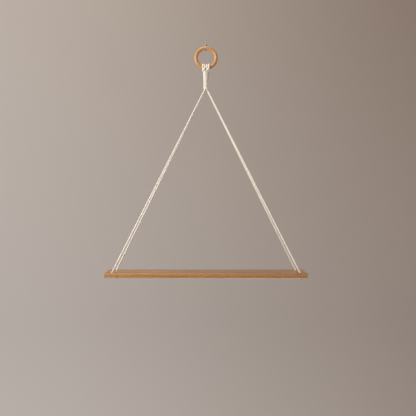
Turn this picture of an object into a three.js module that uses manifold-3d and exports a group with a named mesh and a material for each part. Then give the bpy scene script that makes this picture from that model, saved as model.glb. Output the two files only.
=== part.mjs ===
import * as THREE from "three";
import { mergeVertices } from "three/addons/utils/BufferGeometryUtils.js";
import Module from "manifold-3d";

// A macrame wall shelf: a board that two looped cotton cords hang from a wooden ring on a hook.
// Millimetres, +Z up, front towards -Y. The origin is on the flat back of the hook, and the
// back of the hook and the back edge of the board share the plane y = 0.

// Fit
const GAP = 0.3;
const HITCH_GAP = 0.4;
const SEAT_GAP = 0.45;

// Board
const BOARD_LENGTH = 500;
const BOARD_DEPTH = 100;
const BOARD_THICKNESS = 11;
const BOARD_EDGE = 0.8;
const CORD_HOLE_DIAMETER = 6;
const FRONT_HOLE_X = 233;
const FRONT_HOLE_Y = -83;
const BACK_HOLE_X = 229;
const BACK_HOLE_Y = -16;

// Wooden ring
const RING_OUTSIDE = 60;
const RING_SECTION = 9;
const RING_TOP_BELOW_ORIGIN = 1.5;

// Height from the top of the board to the top of the ring
const HANG_HEIGHT = 570;

// Hook, bent from one strip, and its nail
const HOOK_WIDTH = 4.6;
const HOOK_THICKNESS = 1.4;
const HOOK_TOP = 6;
const HOOK_BEND_RADIUS = 3.2;
const HOOK_LIP = 0.6;
const NAIL_Z = 3.2;
const NAIL_DIAMETER = 2;
const NAIL_HEAD_DIAMETER = 4.2;
const NAIL_HEAD_HEIGHT = 1.3;
const NAIL_HEAD_RIM = 0.5;

// Cords and knots
const CORD_DIAMETER = 4;
const HITCH_CORD_DIAMETER = 4.6;
const HITCH_SPACING = 9.9;
const HITCH_LEG_OFFSET = 2.45;
const HITCH_LEG_IN_KNOT = 6;
const HITCH_LEG_DRAWN_IN = 0.5;
const HITCH_BAR_DEGREES = 336;
const HITCH_BAR_AWAY = 4.1;
const WRAP_TOP_BELOW_BAND = 6;
const WRAP_HEIGHT = 50.5;
const WRAP_TOP_RADIUS = 7.6;
const WRAP_BOTTOM_RADIUS = 6.2;
const WRAP_TURNS = 16;
const WRAP_RIDGE = 0.4;
const WRAP_SHOULDER = 1.6;
const WRAP_SHOULDER_SHARE = 0.75;
const STRAND_EXIT_X = 3;
const STRAND_EXIT_Y = 2.3;
const STRAND_CORE_OFFSET = 2.2;
const STRAND_IN_KNOT = 8;
const FOOT_BEND_HEIGHT = 2.6;
const HOLE_STRAIGHT_FROM = 4;
const UNDER_BEND_RADIUS = 3;
const UNDER_STRAIGHT_FROM = 14;

// Shares of a strand's length, from the knot to the board, that keep it straight
const STRAND_STRAIGHT_AT = [0.02, 0.06, 0.94, 0.985];

// Facets
const CORD_SIDES = 10;
const CORD_STEPS_PER_STATION = 2;
const HITCH_STEPS_PER_STATION = 2;
const WRAP_SIDES = 18;
const WRAP_STEPS_PER_TURN = 4;
const RING_STEPS = 60;
const RING_SIDES = 16;
const HOLE_SIDES = 24;
const BEND_SEGMENTS = 10;
const UNDER_BEND_STEPS = 4;
const DOME_STEPS = 3;

// Finishes
const PLANK_WOOD = { color: 0xa87c52, roughness: 0.6, metalness: 0 };
const RING_WOOD = { color: 0xc98f57, roughness: 0.5, metalness: 0 };
const COTTON = { color: 0xe6dccb, roughness: 0.9, metalness: 0 };
const HOOK_STEEL = { color: 0xa9a49c, roughness: 0.35, metalness: 1 };
const NAIL_STEEL = { color: 0xb8b2a8, roughness: 0.3, metalness: 1 };

// Worked out from the sizes above
const bandRadius = RING_SECTION / 2;
const ringRadius = RING_OUTSIDE / 2 - bandRadius;
const bandTopZ = -RING_TOP_BELOW_ORIGIN - bandRadius;
const ringStandoff = HOOK_THICKNESS + GAP + bandRadius;
const hitchOnBand = bandRadius + HITCH_GAP + HITCH_CORD_DIAMETER / 2;
const boardTopZ = -RING_TOP_BELOW_ORIGIN - HANG_HEIGHT;
const boardBottomZ = boardTopZ - BOARD_THICKNESS;
const hangTilt = Math.atan2(BOARD_DEPTH / 2 - ringStandoff, bandTopZ - boardTopZ);
const wrapTopZ = -2 * ringRadius - WRAP_TOP_BELOW_BAND;
const wrapBottomZ = wrapTopZ - WRAP_HEIGHT;

const wasm = await Module();
wasm.setup();

// The ring, the hitches and the wrapping knot lie in one frame. It starts at the middle of the
// ring's band at the top, and leans out at the bottom, in line with the board's middle.
const hangFrame = new THREE.Matrix4()
  .makeRotationX(-hangTilt)
  .setPosition(0, -ringStandoff, bandTopZ);

// A curve through its stations that is stepped by station, so that long straight spans take
// few steps and bends take many
class CordRoute extends THREE.CatmullRomCurve3 {
  constructor(stations) {
    super(stations, false, "centripetal");
  }

  getUtoTmapping(u) {
    return u;
  }
}

function toManifold(geometry) {
  const bare = geometry.clone();
  bare.deleteAttribute("normal");
  bare.deleteAttribute("uv");
  const merged = mergeVertices(bare, 1e-4);
  const vertProperties = new Float32Array(merged.attributes.position.array);
  const triVerts = new Uint32Array(merged.index.array);
  return new wasm.Manifold(new wasm.Mesh({ numProp: 3, vertProperties, triVerts }));
}

function toGeometry(manifold) {
  const mesh = manifold.getMesh();
  const geometry = new THREE.BufferGeometry();
  geometry.setAttribute("position", new THREE.BufferAttribute(mesh.vertProperties, 3));
  geometry.setIndex(new THREE.BufferAttribute(mesh.triVerts, 1));
  geometry.computeVertexNormals();
  return geometry;
}

function namedMesh(name, geometry, finish) {
  const mesh = new THREE.Mesh(geometry, new THREE.MeshStandardMaterial(finish));
  mesh.name = name;
  return mesh;
}

function cordSection(diameter) {
  const shape = new THREE.Shape();
  shape.absarc(0, 0, diameter / 2, 0, 2 * Math.PI, false);
  return new THREE.Shape(shape.getSpacedPoints(CORD_SIDES).slice(0, CORD_SIDES));
}

function cordAlong(stations, diameter, stepsPerStation) {
  return new THREE.ExtrudeGeometry(cordSection(diameter), {
    steps: (stations.length - 1) * stepsPerStation,
    extrudePath: new CordRoute(stations),
  });
}

// The board, with its long edges slightly rounded and a hole for each strand
function board() {
  const shape = new THREE.Shape();
  const halfLength = BOARD_LENGTH / 2 - BOARD_EDGE;
  shape.moveTo(-halfLength, -BOARD_DEPTH + BOARD_EDGE);
  shape.lineTo(halfLength, -BOARD_DEPTH + BOARD_EDGE);
  shape.lineTo(halfLength, -BOARD_EDGE);
  shape.lineTo(-halfLength, -BOARD_EDGE);
  shape.closePath();
  const plank = new THREE.ExtrudeGeometry(shape, {
    depth: BOARD_THICKNESS - 2 * BOARD_EDGE,
    bevelEnabled: true,
    bevelThickness: BOARD_EDGE,
    bevelSize: BOARD_EDGE,
    bevelSegments: 2,
  });
  let solid = toManifold(plank);
  for (const side of [-1, 1]) {
    solid = solid.subtract(cordHole(side * FRONT_HOLE_X, FRONT_HOLE_Y));
    solid = solid.subtract(cordHole(side * BACK_HOLE_X, BACK_HOLE_Y));
  }
  const mesh = namedMesh("shelf_board", toGeometry(solid), PLANK_WOOD);
  mesh.position.z = boardBottomZ + BOARD_EDGE;
  return mesh;
}

function cordHole(x, y) {
  const radius = CORD_HOLE_DIAMETER / 2;
  const drill = new THREE.CylinderGeometry(radius, radius, 3 * BOARD_THICKNESS, HOLE_SIDES);
  drill.rotateX(Math.PI / 2);
  drill.translate(x, y, 0);
  return toManifold(drill);
}

function ring() {
  const geometry = new THREE.TorusGeometry(ringRadius, bandRadius, RING_SIDES, RING_STEPS);
  geometry.rotateX(Math.PI / 2);
  geometry.translate(0, 0, -ringRadius);
  return namedMesh("wooden_ring", geometry, RING_WOOD);
}

// A point on a turn of cord round the band at the bottom of the ring: x across, an angle that
// starts at the front and rises over the inside of the ring, and the distance from the band's middle
function roundTheBand(x, degrees, distance) {
  const angle = THREE.MathUtils.degToRad(degrees);
  const reach = ringRadius - distance * Math.sin(angle);
  const drop = Math.sqrt(reach * reach - x * x);
  return new THREE.Vector3(x, -distance * Math.cos(angle), -ringRadius - drop);
}

// One half of a lark's head: up from the wrapping knot in front of the band, over it, down
// behind it, and forward under it into the bar that crosses both halves
function hitchHalf(centre, side) {
  const turns = [
    { degrees: -58, across: 0.55, away: 0.6 },
    { degrees: -34, across: 0.85, away: 0 },
    { degrees: -8, across: 1, away: 0 },
    { degrees: 24, across: 1, away: 0 },
    { degrees: 56, across: 1, away: 0 },
    { degrees: 90, across: 1, away: 0 },
    { degrees: 124, across: 1, away: 0 },
    { degrees: 156, across: 1, away: 0 },
    { degrees: 188, across: 1, away: 0 },
    { degrees: 220, across: 1.03, away: 0 },
    { degrees: 250, across: 1.08, away: 0 },
    { degrees: 276, across: 1.12, away: 0.4 },
    { degrees: 300, across: 1.1, away: 1.8 },
    { degrees: 320, across: 0.7, away: 3.5 },
  ];
  const knotX = HITCH_LEG_DRAWN_IN * (centre + side * HITCH_LEG_OFFSET);
  const inKnot = new THREE.Vector3(knotX, 0, wrapTopZ - HITCH_LEG_IN_KNOT);
  const points = turns.map(({ degrees, across, away }) =>
    roundTheBand(centre + side * across * HITCH_LEG_OFFSET, degrees, hitchOnBand + away));
  return [inKnot, ...points];
}

function larksHead(centre) {
  const barMiddle = roundTheBand(centre, HITCH_BAR_DEGREES, hitchOnBand + HITCH_BAR_AWAY);
  const stations = [...hitchHalf(centre, -1), barMiddle, ...hitchHalf(centre, 1).reverse()];
  return cordAlong(stations, HITCH_CORD_DIAMETER, HITCH_STEPS_PER_STATION);
}

// Radius of the wrapping knot at a height below its top: a taper with round shoulders
function wrapRadius(below) {
  const taper = THREE.MathUtils.lerp(WRAP_TOP_RADIUS, WRAP_BOTTOM_RADIUS, below / WRAP_HEIGHT);
  const fromEnd = Math.min(below, WRAP_HEIGHT - below);
  const inset = Math.max(0, WRAP_SHOULDER - fromEnd);
  const round = WRAP_SHOULDER - Math.sqrt(WRAP_SHOULDER ** 2 - inset ** 2);
  return taper - WRAP_RIDGE - WRAP_SHOULDER_SHARE * round;
}

// The wrapping knot: a tapered core whose points are raised along the turns of its cord
function wrappingKnot() {
  const steps = WRAP_TURNS * WRAP_STEPS_PER_TURN;
  const geometry = new THREE.CylinderGeometry(1, 1, WRAP_HEIGHT, WRAP_SIDES, steps);
  geometry.rotateX(Math.PI / 2);
  const place = geometry.attributes.position;
  for (let i = 0; i < place.count; i += 1) {
    const x = place.getX(i);
    const y = place.getY(i);
    const below = WRAP_HEIGHT / 2 - place.getZ(i);
    const turn = WRAP_TURNS * (below / WRAP_HEIGHT) + Math.atan2(y, x) / (2 * Math.PI);
    const radius = wrapRadius(below) + WRAP_RIDGE * Math.cos(2 * Math.PI * turn);
    place.setXY(i, x * radius, y * radius);
  }
  geometry.translate(0, 0, wrapTopZ - WRAP_HEIGHT / 2);
  return geometry;
}

// One side of a cord below the wrapping knot, from inside the knot down the strand, through
// the board and along under it
function strandHalf(side, front, holeX, holeY) {
  const inKnot = new THREE.Vector3(
    side * STRAND_CORE_OFFSET,
    front * STRAND_CORE_OFFSET,
    wrapBottomZ + STRAND_IN_KNOT,
  );
  const exit = new THREE.Vector3(side * STRAND_EXIT_X, front * STRAND_EXIT_Y, wrapBottomZ);
  inKnot.applyMatrix4(hangFrame);
  exit.applyMatrix4(hangFrame);
  const foot = new THREE.Vector3(side * holeX, holeY, boardTopZ + FOOT_BEND_HEIGHT);
  const straight = STRAND_STRAIGHT_AT.map((share) =>
    new THREE.Vector3().lerpVectors(exit, foot, share));
  const inHole = [boardTopZ, boardBottomZ + HOLE_STRAIGHT_FROM].map((z) =>
    new THREE.Vector3(side * holeX, holeY, z));
  const runZ = boardBottomZ - GAP - CORD_DIAMETER / 2;
  const bend = [];
  for (let step = 0; step <= UNDER_BEND_STEPS; step += 1) {
    const angle = (Math.PI / 2) * (step / UNDER_BEND_STEPS);
    const inward = UNDER_BEND_RADIUS * (1 - Math.cos(angle));
    const z = runZ + UNDER_BEND_RADIUS * (1 - Math.sin(angle));
    bend.push(new THREE.Vector3(side * (holeX - inward), holeY, z));
  }
  const under = new THREE.Vector3(side * (holeX - UNDER_STRAIGHT_FROM), holeY, runZ);
  return [inKnot, exit, ...straight, ...inHole, ...bend, under];
}

// One cord: down its left strand, along under the board and up its right strand
function loopedCord(front, holeX, holeY) {
  const left = strandHalf(-1, front, holeX, holeY);
  const right = strandHalf(1, front, holeX, holeY);
  return cordAlong([...left, ...right.reverse()], CORD_DIAMETER, CORD_STEPS_PER_STATION);
}

// The macrame: all the strands, fused at the hitches and in the wrapping knot
function hanger() {
  const knots = [larksHead(-HITCH_SPACING / 2), larksHead(HITCH_SPACING / 2), wrappingKnot()];
  for (const knot of knots) {
    knot.applyMatrix4(hangFrame);
  }
  const cords = [
    loopedCord(-1, FRONT_HOLE_X, FRONT_HOLE_Y),
    loopedCord(1, BACK_HOLE_X, BACK_HOLE_Y),
  ];
  const solids = [...knots, ...cords].map(toManifold);
  const fused = solids.reduce((sum, next) => sum.add(next));
  return namedMesh("macrame_hanger", toGeometry(fused), COTTON);
}

// The hook's side outline: a straight back, a bend and a short lip that the ring rests on
function hookOutline() {
  const middle = HOOK_THICKNESS + HOOK_BEND_RADIUS;
  const lipInside = HOOK_THICKNESS + 2 * HOOK_BEND_RADIUS;
  const reach = bandRadius + SEAT_GAP;
  const lipTopZ = bandTopZ - Math.sqrt(reach ** 2 - (lipInside - ringStandoff) ** 2);
  const bendZ = lipTopZ - HOOK_LIP;
  const shape = new THREE.Shape();
  shape.moveTo(0, HOOK_TOP);
  shape.lineTo(0, bendZ);
  shape.absarc(middle, bendZ, middle, Math.PI, 2 * Math.PI, false);
  shape.lineTo(2 * middle, lipTopZ - HOOK_LIP / 2);
  shape.lineTo(lipInside + HOOK_THICKNESS / 2, lipTopZ);
  shape.lineTo(lipInside, lipTopZ);
  shape.lineTo(lipInside, bendZ);
  shape.absarc(middle, bendZ, HOOK_BEND_RADIUS, 2 * Math.PI, Math.PI, true);
  shape.lineTo(HOOK_THICKNESS, HOOK_TOP);
  shape.closePath();
  return shape;
}

function hook() {
  const strip = new THREE.ExtrudeGeometry(hookOutline(), {
    depth: HOOK_WIDTH,
    bevelEnabled: false,
    curveSegments: BEND_SEGMENTS,
  });
  const forward = new THREE.Vector3(0, -1, 0);
  const up = new THREE.Vector3(0, 0, 1);
  const across = new THREE.Vector3(-1, 0, 0);
  strip.applyMatrix4(new THREE.Matrix4().makeBasis(forward, up, across));
  strip.translate(HOOK_WIDTH / 2, 0, 0);
  const holeRadius = NAIL_DIAMETER / 2 + GAP;
  const drill = new THREE.CylinderGeometry(holeRadius, holeRadius, 4 * HOOK_THICKNESS, HOLE_SIDES);
  drill.translate(0, 0, NAIL_Z);
  const solid = toManifold(strip).subtract(toManifold(drill));
  return namedMesh("picture_hook", toGeometry(solid), HOOK_STEEL);
}

// The nail: a shank cut flush with the hook's back, and a domed head in front of the strip
function nail() {
  const headBack = HOOK_THICKNESS + GAP;
  const headRadius = NAIL_HEAD_DIAMETER / 2;
  const domeHeight = NAIL_HEAD_HEIGHT - NAIL_HEAD_RIM;
  const profile = [
    new THREE.Vector2(0, 0),
    new THREE.Vector2(NAIL_DIAMETER / 2, 0),
    new THREE.Vector2(NAIL_DIAMETER / 2, headBack),
    new THREE.Vector2(headRadius, headBack),
  ];
  for (let step = 0; step < DOME_STEPS; step += 1) {
    const angle = (Math.PI / 2) * (step / DOME_STEPS);
    const height = NAIL_HEAD_RIM + domeHeight * Math.sin(angle);
    profile.push(new THREE.Vector2(headRadius * Math.cos(angle), headBack + height));
  }
  profile.push(new THREE.Vector2(0, headBack + NAIL_HEAD_HEIGHT));
  const mesh = namedMesh("hook_nail", new THREE.LatheGeometry(profile, HOLE_SIDES), NAIL_STEEL);
  mesh.rotation.x = Math.PI;
  mesh.position.z = NAIL_Z;
  return mesh;
}

const leaning = new THREE.Group();
leaning.applyMatrix4(hangFrame);
leaning.add(ring());

const group = new THREE.Group();
group.add(board(), leaning, hanger(), hook(), nail());
export default group;
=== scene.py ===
"""A macrame wall shelf: a board on two looped cotton cords, a wooden ring and a picture hook.

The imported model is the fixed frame. Each sub-assembly is a class that models its pieces, dresses
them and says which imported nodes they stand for. Lengths are in metres. X runs along the board,
Y away from the room and Z up.
"""

import logging
import math
from dataclasses import dataclass, field
from enum import Enum
from itertools import pairwise
from typing import Callable, Sequence

import bpy
import numpy as np
from mathutils import Matrix, Vector

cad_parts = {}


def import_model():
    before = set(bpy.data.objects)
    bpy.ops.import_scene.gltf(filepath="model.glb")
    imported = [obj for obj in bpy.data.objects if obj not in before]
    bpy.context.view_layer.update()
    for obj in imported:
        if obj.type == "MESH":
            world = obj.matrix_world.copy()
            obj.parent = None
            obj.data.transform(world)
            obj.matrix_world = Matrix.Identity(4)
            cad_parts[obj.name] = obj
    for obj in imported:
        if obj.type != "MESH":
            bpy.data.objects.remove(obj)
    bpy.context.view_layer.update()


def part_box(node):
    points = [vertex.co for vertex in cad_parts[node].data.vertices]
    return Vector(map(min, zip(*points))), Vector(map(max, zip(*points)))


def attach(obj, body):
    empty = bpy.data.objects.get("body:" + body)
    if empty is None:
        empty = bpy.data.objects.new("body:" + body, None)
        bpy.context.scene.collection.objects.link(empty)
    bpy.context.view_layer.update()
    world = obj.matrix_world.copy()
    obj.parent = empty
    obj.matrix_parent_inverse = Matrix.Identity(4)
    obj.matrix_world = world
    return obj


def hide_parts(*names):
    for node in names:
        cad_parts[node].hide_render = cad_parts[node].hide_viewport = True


LOG = logging.getLogger("macrame_shelf")
MM = 0.001
FULL_TURN = 2 * math.pi
QUARTER_TURN = math.pi / 2
BODY = "root"

Colour = tuple[float, float, float]
Place = tuple[float, float, float]
Socket = bpy.types.NodeSocket


def srgb(red: int, green: int, blue: int) -> Colour:
    """Turn an 8-bit display colour into a linear one, by the usual curve of displays.

    Args:
        red: Red, 0 to 255.
        green: Green, 0 to 255.
        blue: Blue, 0 to 255.

    Returns:
        The linear colour, each part 0 to 1.
    """
    straight_to, slope, offset, power = 0.04045, 12.92, 0.055, 2.4
    parts = (value / 255 for value in (red, green, blue))
    return tuple(p / slope if p <= straight_to else ((p + offset) / (1 + offset)) ** power for p in parts)


def unit(vectors: np.ndarray) -> np.ndarray:
    """Return vectors, one a row, with the length 1."""
    return vectors / np.linalg.norm(vectors, axis=-1, keepdims=True)


class Slot(Enum):
    """Material slots of the record, one for each kind of finish."""

    BOARD_WOOD = "board_wood"
    RING_WOOD = "ring_wood"
    COTTON = "cotton_cord"
    STEEL = "steel"


class Side(Enum):
    """The two ends of the board, seen from the front."""

    LEFT = -1
    RIGHT = 1


class Row(Enum):
    """The two rows of strands: towards the room, and behind it."""

    FRONT = -1
    BACK = 1


class Part(Enum):
    """The parts of a mesh that a selection is made of."""

    EDGE = "EDGE"
    FACE = "FACE"


class Bench:
    """Modelling steps that the sub-assemblies share."""

    FACING = 0.9  # a face looks along an axis when its normal has this much of it

    @staticmethod
    def clear() -> None:
        """Leave edit mode if need be, and deselect every object."""
        if bpy.context.object and bpy.context.object.mode != "OBJECT":
            bpy.ops.object.mode_set(mode="OBJECT")
        bpy.ops.object.select_all(action="DESELECT")

    @staticmethod
    def only(piece: bpy.types.Object) -> None:
        """Select one object alone and make it the active one.

        Args:
            piece: The object.
        """
        Bench.clear()
        piece.select_set(True)
        bpy.context.view_layer.objects.active = piece

    @staticmethod
    def named(name: str) -> bpy.types.Object:
        """Name the object that was just added, and move its place, turn and scale into its mesh.

        Args:
            name: The object's name.

        Returns:
            The object.
        """
        piece = bpy.context.object
        piece.name = name
        piece.data.name = name
        Bench.only(piece)
        bpy.ops.object.transform_apply(location=True, rotation=True, scale=True)
        return piece

    @staticmethod
    def block(name: str, low: Sequence[float], high: Sequence[float]) -> bpy.types.Object:
        """Add a block.

        Args:
            name: Its name.
            low: Its lowest corner.
            high: Its highest corner.

        Returns:
            The block.
        """
        low, high = Vector(low), Vector(high)
        Bench.clear()
        bpy.ops.mesh.primitive_cube_add(size=1.0, location=(low + high) / 2, scale=high - low)
        return Bench.named(name)

    @staticmethod
    def rod(name: str, middle: Place, radius: float, length: float, sides: int,
            tip: float = 0.0) -> bpy.types.Object:
        """Add a round rod.

        Args:
            name: Its name.
            middle: The place of its middle.
            radius: Its radius.
            length: Its length.
            sides: How many flat sides stand for its round.
            tip: How far it is tipped over from upright, about X.

        Returns:
            The rod.
        """
        Bench.clear()
        bpy.ops.mesh.primitive_cylinder_add(vertices=sides, radius=radius, depth=length,
                                            location=middle, rotation=(tip, 0.0, 0.0))
        return Bench.named(name)

    @staticmethod
    def modify(piece: bpy.types.Object, kind: str, **settings: object) -> None:
        """Add one modifier with the given settings and apply it.

        Args:
            piece: The object to change.
            kind: The modifier's type, such as "BEVEL".
            **settings: Values to set on the modifier.
        """
        Bench.only(piece)
        modifier = piece.modifiers.new(kind.lower(), kind)
        for key, value in settings.items():
            setattr(modifier, key, value)
        bpy.ops.object.modifier_apply(modifier=modifier.name)

    @staticmethod
    def soften(piece: bpy.types.Object, width: float, steps: int, degrees: float) -> None:
        """Round off an object's sharp edges.

        Args:
            piece: The object to change.
            width: How far the rounding reaches.
            steps: How many faces it has across.
            degrees: The angle from which an edge is sharp.
        """
        Bench.modify(piece, "BEVEL", width=width, segments=steps, limit_method="ANGLE",
                     angle_limit=math.radians(degrees))

    @staticmethod
    def cut(piece: bpy.types.Object, cutter: bpy.types.Object) -> None:
        """Cut one object away from another, and delete the cutter."""
        Bench.modify(piece, "BOOLEAN", operation="DIFFERENCE", solver="EXACT", object=cutter)
        bpy.data.objects.remove(cutter, do_unlink=True)

    @staticmethod
    def smooth(piece: bpy.types.Object, degrees: float = 35.0) -> None:
        """Shade an object smooth but for edges sharper than the angle."""
        Bench.only(piece)
        bpy.ops.object.shade_smooth_by_angle(angle=math.radians(degrees))

    @staticmethod
    def select(piece: bpy.types.Object, part: Part, wanted: Callable[..., bool]) -> None:
        """Open an object in edit mode, with only the parts selected that a test picks.

        Args:
            piece: The object.
            part: Whether its edges or its faces are tested.
            wanted: The test, given each edge or face.
        """
        Bench.only(piece)
        bpy.ops.object.mode_set(mode="EDIT")
        bpy.ops.mesh.select_mode(type=part.value)
        bpy.ops.mesh.select_all(action="DESELECT")
        bpy.ops.object.mode_set(mode="OBJECT")
        for item in piece.data.edges if part is Part.EDGE else piece.data.polygons:
            item.select = wanted(item)
        bpy.ops.object.mode_set(mode="EDIT")

    @staticmethod
    def draw_out(x: float = 0.0, y: float = 0.0, z: float = 0.0) -> None:
        """Extrude what is selected, and move the new part by the given lengths."""
        bpy.ops.mesh.extrude_region_move(TRANSFORM_OT_translate={"value": (x, y, z)})

    @staticmethod
    def resize(middle: Place, x: float = 1.0, y: float = 1.0, z: float = 1.0) -> None:
        """Resize what is selected about a middle, each axis by its own share."""
        bpy.ops.transform.resize(value=(x, y, z), center_override=middle)

    @staticmethod
    def close_edit(merge: float = 0.0) -> None:
        """Turn every face outwards and leave edit mode.

        Args:
            merge: How near each other points are that become one first, 0 to merge none.
        """
        bpy.ops.mesh.select_all(action="SELECT")
        if merge:
            bpy.ops.mesh.remove_doubles(threshold=merge)
        bpy.ops.mesh.normals_make_consistent(inside=False)
        bpy.ops.object.mode_set(mode="OBJECT")

    @staticmethod
    def hand_over(piece: bpy.types.Object, slot: Slot, *nodes: str) -> None:
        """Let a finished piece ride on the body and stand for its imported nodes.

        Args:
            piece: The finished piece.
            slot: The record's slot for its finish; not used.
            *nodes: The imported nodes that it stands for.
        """
        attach(piece, BODY)
        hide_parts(*nodes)


@dataclass(frozen=True)
class Pattern:
    """A noise pattern: how fine it is, and which of its values run from 0 to 1."""

    scale: float
    low: float
    high: float
    detail: float = 2.0
    roughness: float = 0.5
    distortion: float = 0.0
    squeeze: Place = (1.0, 1.0, 1.0)  # a small share draws the pattern out long on that axis


class Recipe:
    """A material's node tree, built one node at a time."""

    def __init__(self, name: str) -> None:
        """Start a material that holds only its shader and output.

        Args:
            name: The material's name.
        """
        self.material = bpy.data.materials.new(name)
        self.material.use_nodes = True
        self.tree = self.material.node_tree
        self.shader = self.tree.nodes["Principled BSDF"]

    def feed(self, socket: Socket, value: object) -> None:
        """Link an input to another node's output, or give it a plain value.

        Args:
            socket: The input.
            value: A socket, a number or a row of numbers.
        """
        if isinstance(value, Socket):
            self.tree.links.new(value, socket)
        else:
            socket.default_value = value

    def node(self, kind: str, **values: object) -> bpy.types.Node:
        """Add a node.

        Args:
            kind: The node's type without the leading "ShaderNode".
            **values: Properties of the node, or of its inputs by name with _ for a space.

        Returns:
            The new node.
        """
        made = self.tree.nodes.new("ShaderNode" + kind)
        for key, value in values.items():
            label = key.replace("_", " ")
            if label in made.inputs:
                self.feed(made.inputs[label], value)
            else:
                setattr(made, key, value)
        return made

    def place(self) -> Socket:
        """Return each point's place in the object's own frame."""
        return self.node("TexCoord").outputs["Object"]

    def math(self, operation: str, first: Socket | float, second: Socket | float = 0.0) -> Socket:
        """Add a maths node.

        Args:
            operation: The node's operation, such as "MULTIPLY".
            first: A socket or a number.
            second: A socket or a number.

        Returns:
            The node's output.
        """
        made = self.node("Math", operation=operation)
        self.feed(made.inputs[0], first)
        self.feed(made.inputs[1], second)
        return made.outputs["Value"]

    def vector(self, operation: str, first: Socket, second: Socket | Place) -> Socket:
        """Add a vector maths node.

        Args:
            operation: The node's operation, such as "ADD".
            first: A socket.
            second: A socket or three numbers.

        Returns:
            The node's output.
        """
        made = self.node("VectorMath", operation=operation)
        self.feed(made.inputs[0], first)
        self.feed(made.inputs[1], second)
        return made.outputs["Vector"]

    def spread(self, value: Socket, low: float, high: float, ease: bool = False) -> Socket:
        """Stretch the part of a value between two limits to run from 0 to 1.

        Args:
            value: The value.
            low: The limit that becomes 0.
            high: The limit that becomes 1.
            ease: Whether it starts and ends softly.

        Returns:
            The stretched value.
        """
        course = "SMOOTHSTEP" if ease else "LINEAR"
        made = self.node("MapRange", Value=value, From_Min=low, From_Max=high, interpolation_type=course)
        return made.outputs["Result"]

    def graded(self, base: float, where: Socket, change: float) -> Socket:
        """Return a base number that changes by so much where a value is 1."""
        return self.math("ADD", self.math("MULTIPLY", where, change), base)

    def pattern(self, place: Socket, pattern: Pattern) -> Socket:
        """Draw a noise pattern.

        Args:
            place: The coordinates that it lies on.
            pattern: The pattern.

        Returns:
            Its value, 0 to 1.
        """
        squeezed = self.node("Mapping", Vector=place, Scale=pattern.squeeze).outputs["Vector"]
        noise = self.node("TexNoise", Vector=squeezed, Scale=pattern.scale, Detail=pattern.detail,
                          Roughness=pattern.roughness, Distortion=pattern.distortion)
        return self.spread(noise.outputs["Fac"], pattern.low, pattern.high)

    def mix(self, factor: Socket | float, first: Socket | Colour, second: Socket | Colour) -> Socket:
        """Mix two colours.

        Args:
            factor: A socket or a number, 0 for the first colour.
            first: A socket or a colour.
            second: A socket or a colour.

        Returns:
            The mixed colour.
        """
        made = self.tree.nodes.new("ShaderNodeMix")
        made.data_type = "RGBA"
        share, *colours = (made.inputs[index] for index in (0, 6, 7))  # those of its colour mode
        self.feed(share, factor)
        for socket, value in zip(colours, (first, second), strict=True):
            self.feed(socket, value if isinstance(value, Socket) else (*value, 1.0))
        return made.outputs[2]

    def tint(self, under: Socket | Colour, over: Socket | Colour, where: Socket, weight: float) -> Socket:
        """Lay one colour over another.

        Args:
            under: The colour below.
            over: The colour laid on it.
            where: Where it is laid on, 0 to 1.
            weight: How much of it is laid on where that is 1.

        Returns:
            The mixed colour.
        """
        return self.mix(self.math("MULTIPLY", where, weight), under, over)

    def surface(self, **sockets: object) -> None:
        """Set or link inputs of the shader by name, with _ for a space."""
        for key, value in sockets.items():
            self.feed(self.shader.inputs[key.replace("_", " ")], value)

    def bump(self, height: Socket, depth: float, strength: float) -> None:
        """Raise the surface by a height that runs from 0 to 1, depth metres deep."""
        made = self.node("Bump", Height=height, Distance=depth, Strength=strength)
        self.feed(self.shader.inputs["Normal"], made.outputs["Normal"])


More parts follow.
